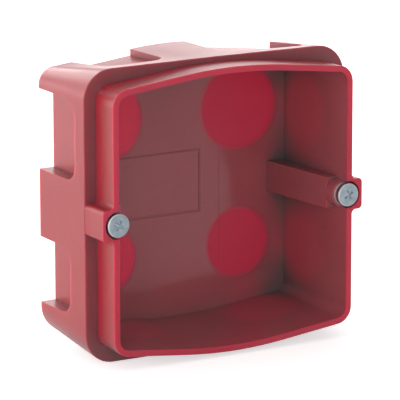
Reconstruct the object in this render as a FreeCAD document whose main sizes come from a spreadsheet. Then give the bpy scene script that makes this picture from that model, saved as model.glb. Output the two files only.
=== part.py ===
"""Flush back box: one plastic moulding and the two screws that hold a wiring device.

Frame: X to the right, Y from the opening to the back, Z up.
The origin is in the plane of the rim, midway between the two screws.
"""

import FreeCAD, Part
import math
import os

import Sketcher

SHEET_VALUES = {
    # The deep box that carries the rim
    "rim_half_width": 31.15,
    "rim_crown": 32.85,
    "rim_crown_radius": 110.0,
    "rim_bow_angle": 6.6,
    "rim_corner_radius": 4.0,
    "box_depth": 30.0,
    "wall": 1.4,
    "draft_angle": 1.6,
    "rim_rounding": 0.15,
    "back_wall": 1.6,
    "rear_recess": 1.8,
    # The skirt round it, which the plaster grips
    "skirt_step": 2.8,
    "shoulder_depth": 8.45,
    "shoulder_crown": 33.8,
    "shoulder_crown_radius": 900.0,
    "shoulder_bow_angle": 0.3,
    "shoulder_corner_radius": 7.0,
    "shoulder_rounding": 0.2,
    "skirt_rear_crown": 33.65,
    "skirt_rear_crown_radius": 85.0,
    "skirt_rear_bow_angle": 5.9,
    "skirt_rear_upper_radius": 4.0,
    "skirt_rear_lower_radius": 6.8,
    # The windows that leave the skirt as lugs
    "window_radius": 4.0,
    "upper_window_low": 7.7,
    "upper_window_high": 26.3,
    "upper_window_front": 12.8,
    "lower_window_low": -23.5,
    "lower_window_high": -8.1,
    "lower_window_front": 15.5,
    "left_window_start": -25.5,
    "left_window_end": -10.3,
    "right_window_start": 4.0,
    "right_window_end": 27.0,
    "level_window_front": 12.4,
    # The screw posts inside, and the bosses outside
    "screw_spacing": 60.0,
    "boss_inset": 0.1,
    "boss_half_height": 3.6,
    "boss_corner_radius": 1.0,
    "boss_root_radius": 1.1,
    "post_half_height": 3.6,
    "post_front": 4.4,
    "post_front_inner_face": 26.9,
    "post_rear_inner_face": 24.2,
    "seat_clearance": 0.5,
    "hole_radius": 1.5,
    "hole_end_wall": 4.5,
    # The screws
    "head_radius": 2.7,
    "head_height": 2.1,
    "head_stand": 0.4,
    "head_rounding": 0.4,
    "shank_clearance": 0.06,
    "shank_end_gap": 3.0,
    "tip_length": 1.2,
    "recess_half_length": 1.3,
    "recess_half_width": 0.34,
    "recess_depth": 0.6,
    "recess_taper": 20.0,
    "left_screw_turn": 28.0,
    "right_screw_turn": 61.0,
    # The discs thinned from the rear, and the plain frame inside
    "disc_step": 1.0,
    "upper_right_disc_across": 16.5,
    "upper_right_disc_height": 17.4,
    "upper_right_disc_radius": 10.0,
    "lower_right_disc_across": 16.3,
    "lower_right_disc_height": -15.0,
    "lower_right_disc_radius": 8.3,
    "upper_left_disc_across": -18.9,
    "upper_left_disc_height": 17.4,
    "upper_left_disc_radius": 9.6,
    "lower_left_disc_across": -19.4,
    "lower_left_disc_height": -15.0,
    "lower_left_disc_radius": 8.3,
    "frame_left": -20.0,
    "frame_right": 6.4,
    "frame_bottom": -6.6,
    "frame_top": 8.5,
    "frame_line": 0.6,
    "frame_height": 0.15,
}


class Measure:
    """A number with the sheet expression that gives it."""

    def __init__(self, value, text):
        self.value = value
        self.text = text

    def __add__(self, other):
        other = measure(other)
        return Measure(self.value + other.value, f"({self.text} + {other.text})")

    def __sub__(self, other):
        other = measure(other)
        return Measure(self.value - other.value, f"({self.text} - {other.text})")

    def __mul__(self, other):
        other = measure(other)
        return Measure(self.value * other.value, f"({self.text} * {other.text})")

    def __neg__(self):
        return Measure(-self.value, f"(0 - {self.text})")


def measure(number):
    if isinstance(number, Measure):
        return number
    return Measure(float(number), f"({number})")


def size(name):
    return Measure(SHEET_VALUES[name], f"sizes.{name}")


def bind(owner, path, length):
    owner.setExpression(path, measure(length).text)


def make_body(name):
    body = doc.addObject("PartDesign::Body", name)
    body.Label = name
    return body


def make_sketch(body, name, plane, offset=0):
    """A sketch on an origin plane, moved against the plane's normal by the offset."""
    sketch = body.newObject("Sketcher::SketchObject", name)
    support = [item for item in body.Origin.OriginFeatures if item.Role == plane][0]
    sketch.AttachmentSupport = [(support, "")]
    sketch.MapMode = "FlatFace"
    bind(sketch, ".AttachmentOffset.Base.z", -measure(offset))
    return sketch


def hold(sketch, kind, *references, amount):
    """Adds one dimension and ties it to the sheet."""
    amount = measure(amount)
    number = math.radians(amount.value) if kind == "Angle" else amount.value
    index = sketch.addConstraint(Sketcher.Constraint(kind, *references, number))
    bind(sketch, f"Constraints[{index}]", amount)


def join_ends(sketch, kind, geometry):
    """Joins each piece of a closed outline to the next one."""
    for place, piece in enumerate(geometry):
        following = geometry[(place + 1) % len(geometry)]
        sketch.addConstraint(Sketcher.Constraint(kind, piece, 2, following, 1))


def line(start, end):
    return Part.LineSegment(FreeCAD.Vector(*start, 0), FreeCAD.Vector(*end, 0))


def arc(centre, radius, start, end):
    circle = Part.Circle(FreeCAD.Vector(*centre, 0), FreeCAD.Vector(0, 0, 1), radius)
    return Part.ArcOfCircle(circle, math.radians(start), math.radians(end))


def bowed_corner(half_width, arch_height, arch, slope, radius):
    """Where a corner arc has its centre, and where it meets the sloping edge."""
    inset = half_width - radius
    height = arch_height + (arch - radius - inset * math.sin(slope)) / math.cos(slope)
    meeting = (inset + radius * math.sin(slope), height + radius * math.cos(slope))
    return inset, height, meeting


def draw_bowed_square(sketch, half_width, crown, crown_radius, bow_angle, upper_radius, lower_radius):
    """A square with upright sides whose top and bottom rise to a rounded crown."""
    across, arch, bend = half_width.value, crown_radius.value, bow_angle.value
    slope = math.radians(bend)
    arch_height = crown.value - arch
    spring_x, spring_y = arch * math.sin(slope), arch_height + arch * math.cos(slope)
    upper, lower = upper_radius.value, lower_radius.value
    upper_inset, upper_height, (top_x, top_y) = bowed_corner(across, arch_height, arch, slope, upper)
    lower_inset, lower_height, (low_x, low_y) = bowed_corner(across, arch_height, arch, slope, lower)
    pieces = [
        line((across, -lower_height), (across, upper_height)),
        arc((upper_inset, upper_height), upper, 0, 90 - bend),
        line((top_x, top_y), (spring_x, spring_y)),
        arc((0, arch_height), arch, 90 - bend, 90 + bend),
        line((-spring_x, spring_y), (-top_x, top_y)),
        arc((-upper_inset, upper_height), upper, 90 + bend, 180),
        line((-across, upper_height), (-across, -lower_height)),
        arc((-lower_inset, -lower_height), lower, 180, 270 - bend),
        line((-low_x, -low_y), (-spring_x, -spring_y)),
        arc((0, -arch_height), arch, 270 - bend, 270 + bend),
        line((spring_x, -spring_y), (low_x, -low_y)),
        arc((lower_inset, -lower_height), lower, 270 + bend, 360),
    ]
    sketch.addGeometry(pieces, False)
    join_ends(sketch, "Tangent", range(len(pieces)))
    sketch.addConstraint([Sketcher.Constraint("Vertical", 0), Sketcher.Constraint("Vertical", 6)])
    for crown_arc in (3, 9):
        sketch.addConstraint(Sketcher.Constraint("PointOnObject", crown_arc, 3, -2))
        hold(sketch, "Radius", crown_arc, amount=crown_radius)
    sketch.addConstraint([Sketcher.Constraint("Equal", 1, 5), Sketcher.Constraint("Equal", 7, 11)])
    hold(sketch, "Radius", 1, amount=upper_radius)
    hold(sketch, "Radius", 7, amount=lower_radius)
    hold(sketch, "DistanceX", -1, 1, 0, 1, amount=half_width)
    hold(sketch, "DistanceX", 6, 1, -1, 1, amount=half_width)
    hold(sketch, "DistanceY", -1, 1, 3, 3, amount=crown - crown_radius)
    hold(sketch, "DistanceY", 9, 3, -1, 1, amount=crown - crown_radius)
    hold(sketch, "Angle", 2, amount=measure(180) - bow_angle)
    hold(sketch, "Angle", 4, amount=bow_angle - 180)
    hold(sketch, "Angle", 8, amount=-bow_angle)
    hold(sketch, "Angle", 10, amount=bow_angle)


def draw_rounded_rectangle(sketch, left, right, low, high, radius):
    """A rectangle with four equal round corners."""
    first = sketch.GeometryCount
    x0, x1, y0, y1, r = left.value, right.value, low.value, high.value, radius.value
    sketch.addGeometry(
        [
            line((x0 + r, y0), (x1 - r, y0)),
            arc((x1 - r, y0 + r), r, 270, 360),
            line((x1, y0 + r), (x1, y1 - r)),
            arc((x1 - r, y1 - r), r, 0, 90),
            line((x1 - r, y1), (x0 + r, y1)),
            arc((x0 + r, y1 - r), r, 90, 180),
            line((x0, y1 - r), (x0, y0 + r)),
            arc((x0 + r, y0 + r), r, 180, 270),
        ],
        False,
    )
    sides = list(range(first, first + 8))
    join_ends(sketch, "Tangent", sides)
    bottom, turn, right_side, _, top, _, left_side, _ = sides
    for level in (bottom, top):
        sketch.addConstraint(Sketcher.Constraint("Horizontal", level))
    for upright in (right_side, left_side):
        sketch.addConstraint(Sketcher.Constraint("Vertical", upright))
    for corner in sides[3::2]:
        sketch.addConstraint(Sketcher.Constraint("Equal", turn, corner))
    hold(sketch, "Radius", turn, amount=radius)
    hold(sketch, "DistanceX", -1, 1, left_side, 1, amount=left)
    hold(sketch, "DistanceX", -1, 1, right_side, 1, amount=right)
    hold(sketch, "DistanceY", -1, 1, bottom, 1, amount=low)
    hold(sketch, "DistanceY", -1, 1, top, 1, amount=high)


def draw_circle(sketch, across, up, radius):
    centre = FreeCAD.Vector(across.value, up.value, 0)
    index = sketch.addGeometry(Part.Circle(centre, FreeCAD.Vector(0, 0, 1), radius.value), False)
    hold(sketch, "Radius", index, amount=radius)
    hold(sketch, "DistanceX", -1, 1, index, 3, amount=across)
    hold(sketch, "DistanceY", -1, 1, index, 3, amount=up)


def draw_polygon(sketch, points):
    first = sketch.GeometryCount
    places = [(across.value, up.value) for across, up in points]
    for start, end in zip(places, places[1:] + places[:1]):
        sketch.addGeometry(line(start, end), False)
    sides = list(range(first, first + len(points)))
    join_ends(sketch, "Coincident", sides)
    for side, (across, up) in zip(sides, points):
        hold(sketch, "DistanceX", -1, 1, side, 1, amount=across)
        hold(sketch, "DistanceY", -1, 1, side, 1, amount=up)


def draw_rectangle(sketch, left, right, low, high):
    draw_polygon(sketch, [(left, low), (right, low), (right, high), (left, high)])


def add_feature(body, kind, name, sketch, length=None, **settings):
    """A pad or pocket of a sketch, with its length tied to the sheet."""
    feature = body.newObject(f"PartDesign::{kind}", name)
    feature.Profile = sketch
    if length is not None:
        bind(feature, "Length", length)
    for setting, value in settings.items():
        setattr(feature, setting, value)
    return feature


def round_edges(body, name, radius, chosen):
    """Rounds the edges of the body so far whose bounding box is chosen."""
    doc.recompute()
    solid = body.Tip
    edges = [
        f"Edge{number}"
        for number, edge in enumerate(solid.Shape.Edges, start=1)
        if chosen(edge.BoundBox)
    ]
    rounding = body.newObject("PartDesign::Fillet", name)
    rounding.Base = (solid, edges)
    bind(rounding, "Radius", radius)


def near(number, target):
    return abs(number - target) < 0.02


doc = FreeCAD.newDocument("back_box")
sheet = doc.addObject("Spreadsheet::Sheet", "sizes")
for row, (name, value) in enumerate(SHEET_VALUES.items(), start=1):
    sheet.set(f"A{row}", str(value))
    sheet.setAlias(f"A{row}", name)
doc.recompute()

screw_offset = size("screw_spacing") * 0.5
zero = measure(0)
hands = (-1, 1)
cavity_depth = size("box_depth") - size("rear_recess") - size("back_wall")
skirt_half_width = size("rim_half_width") + size("skirt_step")
boss_tip = skirt_half_width - size("boss_inset")
inner_half_width = size("rim_half_width") - size("wall")
past_rear = size("box_depth") + size("window_radius") * 2
seat_depth = size("head_height") - size("head_stand")

# The moulding starts as the skirt, a loft from a straight square to a bowed one
box = make_body("back_box")
rounding = size("shoulder_rounding")
halfway = rounding * (1 - math.sqrt(0.5))
skirt_outlines = []
for name, inset, depth in (
    ("ShoulderFace", rounding, zero),
    ("ShoulderTurn", halfway, halfway),
    ("ShoulderSide", zero, rounding),
):
    outline = make_sketch(box, name, "XZ_Plane", size("shoulder_depth") + depth)
    draw_bowed_square(
        outline,
        skirt_half_width - inset,
        size("shoulder_crown") - inset,
        size("shoulder_crown_radius") - inset,
        size("shoulder_bow_angle"),
        size("shoulder_corner_radius") - inset,
        size("shoulder_corner_radius") - inset,
    )
    skirt_outlines.append(outline)
rear_outline = make_sketch(box, "SkirtRear", "XZ_Plane", size("box_depth"))
draw_bowed_square(
    rear_outline,
    skirt_half_width,
    size("skirt_rear_crown"),
    size("skirt_rear_crown_radius"),
    size("skirt_rear_bow_angle"),
    size("skirt_rear_upper_radius"),
    size("skirt_rear_lower_radius"),
)
skirt_outlines.append(rear_outline)
skirt = box.newObject("PartDesign::AdditiveLoft", "Skirt")
skirt.Profile = skirt_outlines[0]
skirt.Sections = skirt_outlines[1:]
skirt.Ruled = True

# Windows open the skirt from the rear, on both sides and on top and bottom
side_windows = make_sketch(box, "SideWindows", "YZ_Plane")
for level in ("upper", "lower"):
    draw_rounded_rectangle(
        side_windows,
        size(f"{level}_window_front"),
        past_rear,
        size(f"{level}_window_low"),
        size(f"{level}_window_high"),
        size("window_radius"),
    )
add_feature(box, "Pocket", "SideWindowCut", side_windows, Type="ThroughAll", Midplane=True)

level_windows = make_sketch(box, "LevelWindows", "XY_Plane")
for name in ("left", "right"):
    draw_rounded_rectangle(
        level_windows,
        size(f"{name}_window_start"),
        size(f"{name}_window_end"),
        size("level_window_front"),
        past_rear,
        size("window_radius"),
    )
add_feature(box, "Pocket", "LevelWindowCut", level_windows, Type="ThroughAll", Midplane=True)

# Slots cored from the rear keep the middle lugs from being too thick beside the screw holes
cores = make_sketch(box, "LugCores", "XZ_Plane", size("box_depth"))
for hand in hands:
    near_side, far_side = size("rim_half_width"), skirt_half_width - size("wall")
    left, right = (near_side, far_side) if hand > 0 else (-far_side, -near_side)
    hole_wall = size("hole_radius") + size("wall")
    draw_rectangle(cores, left, right, hole_wall, size("upper_window_low") - size("wall"))
    draw_rectangle(cores, left, right, size("lower_window_high") + size("wall"), -hole_wall)
core_depth = size("box_depth") - size("shoulder_depth") - size("wall")
add_feature(box, "Pocket", "LugCoreCut", cores, core_depth, Reversed=True)

# The deep box runs from the rim to the rear, with draft, and closes the windows behind the lugs
tube_outline = make_sketch(box, "TubeOutline", "XZ_Plane")
draw_bowed_square(
    tube_outline,
    size("rim_half_width"),
    size("rim_crown"),
    size("rim_crown_radius"),
    size("rim_bow_angle"),
    size("rim_corner_radius"),
    size("rim_corner_radius"),
)
tube = add_feature(box, "Pad", "Tube", tube_outline, size("box_depth"), Reversed=True)
bind(tube, "TaperAngle", -size("draft_angle"))

# An ear on each side of the collar carries the screw, level with the rim
bosses = make_sketch(box, "Bosses", "XZ_Plane")
for hand in hands:
    near_side = inner_half_width - size("boss_corner_radius")
    left, right = (near_side, boss_tip) if hand > 0 else (-boss_tip, -near_side)
    draw_rounded_rectangle(
        bosses,
        left,
        right,
        -size("boss_half_height"),
        size("boss_half_height"),
        size("boss_corner_radius"),
    )
boss_length = size("shoulder_depth") + size("wall")
add_feature(box, "Pad", "BossPads", bosses, boss_length, Reversed=True)
shoulder_y, boss_z = SHEET_VALUES["shoulder_depth"], SHEET_VALUES["boss_half_height"]
round_edges(
    box,
    "BossRoots",
    size("boss_root_radius"),
    lambda bounds: near(bounds.YMin, 0)
    and near(bounds.YMax, shoulder_y)
    and near(abs(bounds.ZMin), boss_z)
    and near(abs(bounds.ZMax), boss_z)
    and bounds.XLength > 0.1,
)
round_edges(
    box,
    "RimRounding",
    size("rim_rounding"),
    lambda bounds: near(bounds.YMin, 0) and near(bounds.YMax, 0),
)

# The inside follows the outside at one wall's distance
cavity_outline = make_sketch(box, "CavityOutline", "XZ_Plane")
draw_bowed_square(
    cavity_outline,
    inner_half_width,
    size("rim_crown") - size("wall"),
    size("rim_crown_radius") - size("wall"),
    size("rim_bow_angle"),
    size("rim_corner_radius") - size("wall"),
    size("rim_corner_radius") - size("wall"),
)
cavity = add_feature(box, "Pocket", "Cavity", cavity_outline, cavity_depth)
bind(cavity, "TaperAngle", -size("draft_angle"))

# The back wall lies forward of the rear edge
draft = Measure(math.tan(math.radians(SHEET_VALUES["draft_angle"])), "tan(sizes.draft_angle * 1 deg)")
rear_shrink = size("box_depth") * draft + size("wall")
recess_outline = make_sketch(box, "RearRecessOutline", "XZ_Plane", size("box_depth"))
draw_bowed_square(
    recess_outline,
    size("rim_half_width") - rear_shrink,
    size("rim_crown") - rear_shrink,
    size("rim_crown_radius") - rear_shrink,
    size("rim_bow_angle"),
    size("rim_corner_radius") - rear_shrink,
    size("rim_corner_radius") - rear_shrink,
)
add_feature(box, "Pocket", "RearRecess", recess_outline, size("rear_recess"), Reversed=True)

# Inside, a post that widens to the back carries each screw, with a round seat for its head
posts = make_sketch(box, "Posts", "XY_Plane")
rings = make_sketch(box, "SeatRings", "XZ_Plane", seat_depth)
seats = make_sketch(box, "Seats", "XZ_Plane")
holes = make_sketch(box, "Holes", "XZ_Plane", seat_depth)
post_end = cavity_depth + size("back_wall") * 0.5
for hand in hands:
    foot = [
        (size("post_front_inner_face"), size("post_front")),
        (inner_half_width, size("post_front")),
        (inner_half_width, post_end),
        (size("post_rear_inner_face"), post_end),
    ]
    draw_polygon(posts, [(across * hand, depth) for across, depth in foot])
    centre = screw_offset * hand
    draw_circle(rings, centre, zero, size("head_radius") + size("seat_clearance"))
    draw_circle(seats, centre, zero, size("head_radius") + size("seat_clearance"))
    draw_circle(holes, centre, zero, size("hole_radius"))
add_feature(box, "Pad", "PostPads", posts, size("post_half_height") * 2, Midplane=True)
ring_length = size("post_front") + size("wall") - seat_depth
add_feature(box, "Pad", "SeatRingPads", rings, ring_length, Reversed=True)
add_feature(box, "Pocket", "SeatPockets", seats, seat_depth)
hole_depth = size("box_depth") - size("hole_end_wall") - seat_depth
add_feature(box, "Pocket", "ScrewHoles", holes, hole_depth)

# Discs thinned from the rear, to be knocked out for cables
discs = make_sketch(box, "Discs", "XZ_Plane", size("box_depth") - size("rear_recess"))
for place in ("upper_right", "lower_right", "upper_left", "lower_left"):
    across, up = size(f"{place}_disc_across"), size(f"{place}_disc_height")
    draw_circle(discs, across, up, size(f"{place}_disc_radius"))
add_feature(box, "Pocket", "DiscPockets", discs, size("disc_step"), Reversed=True)

# A plain raised frame on the back wall
frame = make_sketch(box, "Frame", "XZ_Plane", cavity_depth)
for inset in (zero, size("frame_line")):
    draw_rectangle(
        frame,
        size("frame_left") + inset,
        size("frame_right") - inset,
        size("frame_bottom") + inset,
        size("frame_top") - inset,
    )
add_feature(box, "Pad", "FramePad", frame, size("frame_height"))


def make_screw(name, hand):
    """A cross-head machine screw, run in until its head sits in the boss."""
    body = make_body(name)
    body.Placement.Rotation = FreeCAD.Rotation(FreeCAD.Vector(0, 1, 0), 0)
    bind(body, "Placement.Base.x", screw_offset * hand)
    bind(body, "Placement.Rotation.Angle", size(f"{name}_turn"))
    shank_radius = size("hole_radius") - size("shank_clearance")
    head_front = -size("head_stand")
    tip_end = seat_depth + hole_depth - size("shank_end_gap")
    profile = make_sketch(body, f"{name}_profile", "XY_Plane")
    draw_polygon(
        profile,
        [
            (zero, head_front),
            (size("head_radius"), head_front),
            (size("head_radius"), seat_depth),
            (shank_radius, seat_depth),
            (shank_radius, tip_end - size("tip_length")),
            (shank_radius * 0.5, tip_end),
            (zero, tip_end),
        ],
    )
    turned = body.newObject("PartDesign::Revolution", f"{name}_turned")
    turned.Profile = profile
    turned.ReferenceAxis = (profile, ["V_Axis"])
    turned.Angle = 360.0
    round_edges(
        body,
        f"{name}_rounding",
        size("head_rounding"),
        lambda bounds: near(bounds.YMin, head_front.value) and near(bounds.YMax, head_front.value),
    )
    recess = make_sketch(body, f"{name}_recess", "XZ_Plane", head_front)
    long, short = size("recess_half_length"), size("recess_half_width")
    draw_polygon(
        recess,
        [
            (long, -short),
            (long, short),
            (short, short),
            (short, long),
            (-short, long),
            (-short, short),
            (-long, short),
            (-long, -short),
            (-short, -short),
            (-short, -long),
            (short, -long),
            (short, -short),
        ],
    )
    cross = add_feature(body, "Pocket", f"{name}_cross", recess, size("recess_depth"))
    bind(cross, "TaperAngle", -size("recess_taper"))
    return body


pieces = [box, make_screw("left_screw", -1), make_screw("right_screw", 1)]
doc.recompute()

for item in doc.Objects:
    if "Invalid" in item.State or "Error" in item.State:
        raise RuntimeError(f"{item.Name} failed: {item.State}")
for piece in pieces:
    if piece.Shape.isNull() or not piece.Shape.isValid() or len(piece.Shape.Solids) != 1:
        raise RuntimeError(f"{piece.Label} is not one valid solid")

os.makedirs("parts", exist_ok=True)
for piece in pieces:
    piece.Shape.exportStep(f"parts/{piece.Label}.step")
    print(piece.Label, round(piece.Shape.Volume, 1), piece.Shape.BoundBox)
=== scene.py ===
import math

import bpy
from mathutils import Matrix, Vector


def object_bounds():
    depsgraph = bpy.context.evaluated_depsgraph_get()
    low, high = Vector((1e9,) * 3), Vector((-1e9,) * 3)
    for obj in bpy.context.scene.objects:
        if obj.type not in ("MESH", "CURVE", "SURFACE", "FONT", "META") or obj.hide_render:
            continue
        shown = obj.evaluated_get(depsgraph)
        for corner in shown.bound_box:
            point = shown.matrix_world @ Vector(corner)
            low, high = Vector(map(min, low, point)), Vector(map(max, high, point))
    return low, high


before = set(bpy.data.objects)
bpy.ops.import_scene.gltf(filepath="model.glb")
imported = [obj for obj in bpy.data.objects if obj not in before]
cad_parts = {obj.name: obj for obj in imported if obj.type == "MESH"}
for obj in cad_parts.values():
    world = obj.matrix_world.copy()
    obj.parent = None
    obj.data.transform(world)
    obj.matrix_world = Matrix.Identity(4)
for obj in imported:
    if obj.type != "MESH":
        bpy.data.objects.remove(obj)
cad_low, cad_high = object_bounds()


# The housing is one injection moulding in red polypropylene, a little translucent.
# The core half of its steel tool was polished, and the cavity half spark-eroded.
# It comes whole from the frame, so only its finish is made here, with some light and shade painted
# into its colour. Lengths are in metres.
class Wire:
    """One output of a material's nodes. Arithmetic on it adds Math nodes."""

    def __init__(self, tree, socket=None):
        self.tree = tree
        self.socket = socket

    def node(self, kind, settings, inputs, output=0):
        """Add a node: first its settings, then the value or the link of each input."""
        made = self.tree.nodes.new(kind)
        for name, value in settings.items():
            setattr(made, name, value)
        for name, value in inputs.items():
            if isinstance(value, Wire):
                self.tree.links.new(value.socket, made.inputs[name])
            else:
                made.inputs[name].default_value = value
        return Wire(self.tree, made.outputs[output] if len(made.outputs) else None)

    def maths(self, operation, *values):
        inputs = dict(enumerate(values))
        return self.node("ShaderNodeMath", {"operation": operation}, inputs)

    def __add__(self, other):
        return self.maths("ADD", self, other)

    def __radd__(self, other):
        return self.maths("ADD", other, self)

    def __sub__(self, other):
        return self.maths("SUBTRACT", self, other)

    def __rsub__(self, other):
        return self.maths("SUBTRACT", other, self)

    def __mul__(self, other):
        return self.maths("MULTIPLY", self, other)

    def __rmul__(self, other):
        return self.maths("MULTIPLY", other, self)

    def __pow__(self, other):
        return self.maths("POWER", self, other)

    def __abs__(self):
        return self.maths("ABSOLUTE", self)

    def higher(self, other):
        """The larger of the two values."""
        return self.maths("MAXIMUM", self, other)


def new_finish(name):
    """A material with an empty node tree."""
    finish = bpy.data.materials.new(name)
    finish.use_nodes = True
    finish.node_tree.nodes.clear()
    return finish, Wire(finish.node_tree)


def object_place(wire):
    """A place on the object, in metres from the frame's origin."""
    return wire.node("ShaderNodeTexCoord", {}, {}, output="Object")


def coordinates(place):
    """The place's distance across, its depth and its height."""
    return tuple(
        place.node("ShaderNodeSeparateXYZ", {}, {"Vector": place}, output=name) for name in "XYZ"
    )


def noise(place, scale, detail):
    """Even noise from 0 to 1, with its scale in patches to the metre."""
    inputs = {"Vector": place, "Scale": scale, "Detail": detail}
    return place.node("ShaderNodeTexNoise", {}, inputs)


def step(value, start, end):
    """A smooth step from 0 at the start to 1 at the end."""
    settings = {"interpolation_type": "SMOOTHSTEP"}
    inputs = {"Value": value, "From Min": start, "From Max": end}
    return value.node("ShaderNodeMapRange", settings, inputs)


def band(value, rise, fall):
    """A smooth step up and a smooth step down."""
    return step(value, *rise) * step(value, *fall)


def distance(first, second):
    """How far off a point is, from its two distances at right angles."""
    return (first**2 + second**2) ** 0.5


def blend(mask, under, over):
    """One colour laid over another where the mask is 1."""
    return mask.node("ShaderNodeMix", {"data_type": "RGBA"}, {0: mask, 6: under, 7: over}, output=2)


def openness(wire, reach, within):
    """How free a place is of other surfaces, outside the plastic or within it."""
    settings = {"samples": 8, "inside": within}
    return wire.node("ShaderNodeAmbientOcclusion", settings, {"Distance": reach}, output="AO")


moulded, wire = new_finish("moulded_red")
place = object_place(wire)
across, depth, height = coordinates(place)

# The core side of the plastic ends in the middle of the wall, under the bowed crown.
BACK_WALL_FRONT = 0.0266
BACK_WALL_FACE = (
    (BACK_WALL_FRONT - 0.0008, BACK_WALL_FRONT - 0.0003),
    (BACK_WALL_FRONT + 0.0005, BACK_WALL_FRONT + 0.0002),
)
INSIDE_END = (BACK_WALL_FRONT + 0.0008, BACK_WALL_FRONT + 0.0004)
WALL_MIDDLE = 0.0304
CROWN_MIDDLE = 0.03288
HALF_STEP = 0.0003
BOW_SLOPE = 0.1157
CROWN_BEND = 0.00073
DRAFT_SLOPE = 0.0279

front_face = band(depth, *BACK_WALL_FACE)
draft = depth * DRAFT_SLOPE
width = abs(across) + draft
rise = abs(height) + distance(across * BOW_SLOPE, CROWN_BEND)
inside = (
    step(width, WALL_MIDDLE + HALF_STEP, WALL_MIDDLE - HALF_STEP)
    * step(rise + draft, CROWN_MIDDLE + HALF_STEP, CROWN_MIDDLE - HALF_STEP)
    * step(depth, *INSIDE_END)
)
outside = 1 - inside

# Painted shade: deep corners inside are painted grey, and folds of the outside darker, by how open
# each place is.
# Inside and outside are the same plastic; the inside is painted paler and greyer, for the haze of
# reflected light on it.
INSIDE_RED = (0.40, 0.102, 0.118, 1)
SHADE_RED = (0.12, 0.135, 0.135, 1)
OUTSIDE_RED = (0.40, 0.046, 0.054, 1)
FOLD_SHADE_RED = (0.24, 0.070, 0.078, 1)
CORNER_REACH = 0.020
CORNER_OPENNESS = (0.64, 0.24)
CORNER_STRENGTH = 0.95
FOLD_OPENNESS = (0.75, 0.35)
FOLD_STRENGTH = 0.8

open_sky = openness(wire, CORNER_REACH, False)
corner = step(open_sky, *CORNER_OPENNESS) * CORNER_STRENGTH
fold_shade = step(open_sky, *FOLD_OPENNESS) * FOLD_STRENGTH
inner_colour = blend(corner, INSIDE_RED, SHADE_RED)
outer_colour = blend(fold_shade, OUTSIDE_RED, FOLD_SHADE_RED)
colour = blend(inside, outer_colour, inner_colour)

# Painted glow: the sharp front edges are painted redder, for the light that leaves the plastic
# along them.
EDGE_GLOW_RED = (0.44, 0.008, 0.034, 1)
EDGE_REACH = 0.0007
EDGE_OPENNESS = (0.85, 0.55)
EDGE_END = (0.0115, 0.0095)
EDGE_STRENGTH = 0.7

edge = step(openness(wire, EDGE_REACH, True), *EDGE_OPENNESS) * step(depth, *EDGE_END)
colour = blend(edge * outside * EDGE_STRENGTH, colour, EDGE_GLOW_RED)

# Painted shade and glow: the shoulder's flat front ledge is painted grey as its shade, and the
# collar is painted glowing red at its root.
LEDGE_SHADE_RED = (0.26, 0.130, 0.150, 1)
LEDGE_FACE = ((0.00830, 0.00838), (0.00860, 0.00852))
LEDGE_STRENGTH = 0.45
COLLAR_ROOT = ((0.0050, 0.0070), (0.00838, 0.00830))
ROOT_STRENGTH = 0.65

ledge_shade = band(depth, *LEDGE_FACE) * outside
root_glow = band(depth, *COLLAR_ROOT) * outside
colour = blend(ledge_shade * LEDGE_STRENGTH, colour, LEDGE_SHADE_RED)
colour = blend(root_glow * ROOT_STRENGTH, colour, EDGE_GLOW_RED)

# Behind each window of the skirt the wall stands alone; a round painted glow on its inside stands
# for the light that shines through there.
WINDOW_GLOW_RED = (0.50, 0.100, 0.128, 1)
SIDE_ENTRIES = (0.0170, -0.0158)
LEVEL_ENTRIES = (0.0180, -0.0179)
ENTRY_DEPTH = 0.0185
ENTRY_GLOW = (0.0110, 0.0055)
NEAR_WALL = (0.0250, 0.0275)

window_glow = 0.0
for centres, along, off_wall in (
    (SIDE_ENTRIES, height, width),
    (LEVEL_ENTRIES, across, rise),
):
    for centre in centres:
        spot = step(distance(along - centre, depth - ENTRY_DEPTH), *ENTRY_GLOW)
        window_glow = (spot * step(off_wall, *NEAR_WALL)).higher(window_glow)
colour = blend(window_glow * inside, colour, WINDOW_GLOW_RED)

# Four discs of the back wall are thin membranes with a matt inside face; a painted red glow stands
# for the light that comes through them.
# Those on the left are painted brighter, for the more light behind them.
THIN_GLOW_RED = (0.32, 0.044, 0.104, 1)
LIT_THIN_GLOW_RED = (0.40, 0.062, 0.140, 1)
LIT_SIDE = (0.004, -0.014)
FADE_OUTWARD = 0.0009
FADE_INWARD = 0.0007
DISCS = (
    # across, height, radius
    (0.0165, 0.0174, 0.0100),
    (0.0163, -0.0150, 0.0083),
    (-0.0189, 0.0174, 0.0096),
    (-0.0194, -0.0150, 0.0083),
)

thin = 0.0
for disc_across, disc_height, radius in DISCS:
    off_centre = distance(across - disc_across, height - disc_height)
    thin = step(off_centre, radius + FADE_OUTWARD, radius - FADE_INWARD).higher(thin)
thin = thin * front_face
thin_glow_colour = blend(step(across, *LIT_SIDE), THIN_GLOW_RED, LIT_THIN_GLOW_RED)
colour = blend(thin, colour, thin_glow_colour)

# A fine dark line is painted along the edge of the raised frame on the back wall, as its shade, and
# a faint dark line is painted beside the frame.
DEEP_RED = (0.20, 0.010, 0.020, 1)
FRAME_MIDDLE = (-0.00723, 0.001005)
FRAME_HALF = (0.01325, 0.007335)
FRAME_LINE = (0.00030, 0.00008)
FRAME_STRENGTH = 0.5
MARK_PLACE = (0.0112, -0.006)
MARK_LINE = (0.00040, 0.00010)
MARK_REACH = (0.0145, 0.0125)
MARK_STRENGTH = 0.22

beside = abs(across - FRAME_MIDDLE[0]) - FRAME_HALF[0]
above = abs(height - FRAME_MIDDLE[1]) - FRAME_HALF[1]
frame_shade_line = step(abs(beside.higher(above)), *FRAME_LINE) * FRAME_STRENGTH
faint_line = step(abs(across - MARK_PLACE[0]), *MARK_LINE)
faint_line = faint_line * step(abs(height - MARK_PLACE[1]), *MARK_REACH) * MARK_STRENGTH
colour = blend(frame_shade_line.higher(faint_line) * front_face, colour, DEEP_RED)

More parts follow.
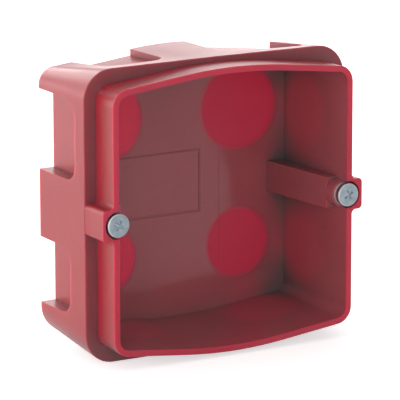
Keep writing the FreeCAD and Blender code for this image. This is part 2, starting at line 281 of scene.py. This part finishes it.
# Painted glow: the cut-off face of the rim is painted bright red, for the light that runs inside
# the wall and leaves there.
RIM_GLOW_RED = (0.58, 0.042, 0.086, 1)
RIM_FACE = (0.0005, 0.0001)

rim = step(depth, *RIM_FACE)
colour = blend(rim, colour, RIM_GLOW_RED)

# Pigment swirls a little where the melt flowed, and the skin has a fine speckle.
FLOW_SCALE = 60.0
GRAIN_SCALE = 2600.0
WAVE_SCALE = 70.0
WAVE_HEIGHT = 0.0002
WAVE_STRENGTH = 0.3
SWIRLS = (0.35, 0.75)
SWIRL_STRENGTH = 0.10
STREAKS = (0.25, 0.8)
POLISHED = 0.12
ERODED = 0.34
MATT_DISC = 0.40

flow = noise(place, FLOW_SCALE, 4.0)
grain = noise(place, GRAIN_SCALE, 2.0)
wave = noise(place, WAVE_SCALE, 2.0)
swirl = (step(flow, *SWIRLS) + step(grain, *SWIRLS)) * SWIRL_STRENGTH
streak = step(flow, *STREAKS)
polish = POLISHED + streak * 0.05
eroded = ERODED + streak * 0.06 + grain * 0.04
roughness = eroded + (polish - eroded) * inside * (1 - rim) + thin * MATT_DISC
relief = {"Strength": WAVE_STRENGTH, "Distance": WAVE_HEIGHT, "Height": wave}
bump = wire.node("ShaderNodeBump", {}, relief)
skin = wire.node(
    "ShaderNodeBsdfPrincipled",
    {},
    {
        "Base Color": blend(swirl, colour, DEEP_RED),
        "Roughness": roughness,
        "Normal": bump,
        "IOR": 1.5,
        "Specular IOR Level": 0.36,
        "Subsurface Weight": 1.0,
        "Subsurface Radius": (1.0, 0.15, 0.30),
        "Subsurface Scale": 0.0025,
    },
)
wire.node("ShaderNodeOutputMaterial", {}, {"Surface": skin})
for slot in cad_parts["back_box"].material_slots:
    slot.material = moulded


# Each screw is cold-headed steel with a cross recess, zinc plated and passivated blue.
# The head is turned flat and a little scuffed by the driver.
ZINC = (0.31, 0.365, 0.40, 1)
DULL_ZINC = (0.23, 0.275, 0.31, 1)
CROSS_LIT_ZINC = (0.48, 0.54, 0.57, 1)
SIDE_HIGHLIGHT_ZINC = (0.62, 0.58, 0.58, 1)
SCREW_OFFSET = 0.030
HEAD_FACE = -0.0004
HEAD_SIDE = (0.00235, 0.00265)
HEAD_BAND = ((-0.0001, 0.0001), (0.0012, 0.0009))
CROSS_FLOOR = (HEAD_FACE + 0.00002, HEAD_FACE + 0.0001)
CROSS_REACH = (0.0015, 0.0014)
STAIN_SCALE = 700.0
STAINS = (0.35, 0.7)
SCUFF_SCALE = 5200.0
SCUFF_HEIGHT = 0.0001
SCUFF_STRENGTH = 0.3
PLATED = 0.26
ROUGH_CROSS = 0.25
HIGHLIGHT_NONMETAL = 0.75

plated, wire = new_finish("zinc_plate")
place = object_place(wire)
across, depth, height = coordinates(place)
off_axis = distance(abs(across) - SCREW_OFFSET, height)
stain = noise(place, STAIN_SCALE, 4.0)
scuff = noise(place, SCUFF_SCALE, 3.0)
cross = step(depth, *CROSS_FLOOR) * step(off_axis, *CROSS_REACH)
colour = blend(step(stain, *STAINS), DULL_ZINC, ZINC)

# Painted highlight: the head's rounded edge and the foot of its side are painted pale and less
# metallic, for light caught there.
side_highlight = step(off_axis, *HEAD_SIDE) * (1 - band(depth, *HEAD_BAND))
colour = blend(side_highlight, colour, SIDE_HIGHLIGHT_ZINC)
# Painted light: the floor of the cross recess is painted paler, lightening its shade.
colour = blend(cross, colour, CROSS_LIT_ZINC)
roughness = PLATED + step(stain, 0.3, 0.7) * 0.16 + scuff * 0.08 + cross * ROUGH_CROSS
relief = {"Strength": SCUFF_STRENGTH, "Distance": SCUFF_HEIGHT, "Height": scuff}
bump = wire.node("ShaderNodeBump", {}, relief)
metal = wire.node(
    "ShaderNodeBsdfPrincipled",
    {},
    {
        "Base Color": colour,
        "Metallic": 1 - side_highlight * HIGHLIGHT_NONMETAL,
        "Roughness": roughness,
        "Normal": bump,
    },
)
wire.node("ShaderNodeOutputMaterial", {}, {"Surface": metal})
for name in ("left_screw", "right_screw"):
    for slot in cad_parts[name].material_slots:
        slot.material = plated


# The set is a sheet of white paper under the box, in a room that shows as white.
# Both show brighter to the camera and in reflections than they light the box.
FLOOR_SIZE = 4.0
FLOOR_GAP = 0.0001
PAPER_GREY = (0.80, 0.80, 0.80, 1)
PAPER_PALE = (0.84, 0.84, 0.84, 1)
WHITE = (1, 1, 1, 1)
FIBRE_SCALE = 900.0
FLOOR_GLOW = 0.6
ROOM_LIGHT = 0.55


def seen_directly(wire):
    """One for what the camera or a reflection sees, nought for light on the box."""
    by_camera = wire.node("ShaderNodeLightPath", {}, {}, output="Is Camera Ray")
    in_gloss = wire.node("ShaderNodeLightPath", {}, {}, output="Is Glossy Ray")
    return by_camera.higher(in_gloss)


half = FLOOR_SIZE / 2
level = cad_low.z - FLOOR_GAP
corners = [(-half, -half, level), (half, -half, level), (half, half, level), (-half, half, level)]
floor_mesh = bpy.data.meshes.new("floor")
floor_mesh.from_pydata(corners, [], [(0, 1, 2, 3)])
floor = bpy.data.objects.new("floor", floor_mesh)
bpy.context.scene.collection.objects.link(floor)

paper, wire = new_finish("white_paper")
fibre = noise(object_place(wire), FIBRE_SCALE, 3.0)
sheet = wire.node("ShaderNodeBsdfDiffuse", {}, {"Color": blend(fibre, PAPER_GREY, PAPER_PALE)})
glow = wire.node("ShaderNodeEmission", {}, {"Color": WHITE, "Strength": FLOOR_GLOW})
both = wire.node("ShaderNodeAddShader", {}, {0: sheet, 1: glow})
surface = wire.node("ShaderNodeMixShader", {}, {0: seen_directly(wire), 1: sheet, 2: both})
wire.node("ShaderNodeOutputMaterial", {}, {"Surface": surface})
floor_mesh.materials.append(paper)

world = bpy.data.worlds.new("white_room")
bpy.context.scene.world = world
world.use_nodes = True
world.node_tree.nodes.clear()
wire = Wire(world.node_tree)
strength = ROOM_LIGHT + seen_directly(wire) * (1 - ROOM_LIGHT)
sky = wire.node("ShaderNodeBackground", {}, {"Color": WHITE, "Strength": strength})
wire.node("ShaderNodeOutputWorld", {}, {"Surface": sky})


# Square soft boxes light the box: three stand behind it, one on the left and one in front.
# Each aims at the box from about half a metre and gives a watt or two.
MIDDLE = (0, 0.015, 0)
SOFT_BOXES = (
    # name, place, aim, width, watts
    ("rear_left_box", (-0.34, 0.50, -0.02), MIDDLE, 0.3, 0.8),
    ("rear_box", (0.0, 0.60, 0.13), MIDDLE, 0.3, 2.4),
    ("rear_right_box", (0.39, 0.56, 0.16), MIDDLE, 0.3, 0.7),
    ("left_box", (-0.5, 0.0, 0.05), MIDDLE, 0.3, 1.3),
    ("front_box", (-0.40, -0.60, 0.12), (0, 0, 0), 0.4, 1.05),
)

for name, stand, aim, side_length, watts in SOFT_BOXES:
    light = bpy.data.lights.new(name, "AREA")
    light.shape = "SQUARE"
    light.size = side_length
    light.energy = watts
    lamp = bpy.data.objects.new(name, light)
    lamp.location = stand
    lamp.rotation_euler = (Vector(aim) - Vector(stand)).to_track_quat("-Z", "Y").to_euler()
    bpy.context.scene.collection.objects.link(lamp)


# The camera stands left of the front and a little above, far back with a long lens.
# ACROSS and UP slide it in its own plane, so that the box sits in the frame.
YAW = math.radians(30.01)
PITCH = math.radians(13.10)
ROLL = math.radians(-0.113)
DISTANCE = 0.7473
ACROSS = 0.007973
UP = -0.002252
FOCAL_PIXELS = 3320.5
PICTURE = 400
SENSOR = 36.0

ahead = Vector(
    (math.sin(YAW) * math.cos(PITCH), math.cos(YAW) * math.cos(PITCH), -math.sin(PITCH))
)
level_right = ahead.cross(Vector((0, 0, 1))).normalized()
level_up = level_right.cross(ahead)
right = level_right * math.cos(ROLL) + level_up * math.sin(ROLL)
up = level_up * math.cos(ROLL) - level_right * math.sin(ROLL)
turn = Matrix((right, up, -ahead)).transposed().to_4x4()
stand = -ahead * DISTANCE - right * ACROSS - up * UP

camera_data = bpy.data.cameras.new("camera")
camera_data.sensor_width = SENSOR
camera_data.lens = FOCAL_PIXELS / PICTURE * SENSOR
camera_data.clip_start = 0.05
camera_data.clip_end = 20
camera = bpy.data.objects.new("camera", camera_data)
camera.matrix_world = Matrix.Translation(stand) @ turn
bpy.context.scene.collection.objects.link(camera)
bpy.context.scene.camera = camera

bpy.context.scene.view_settings.view_transform = "Standard"
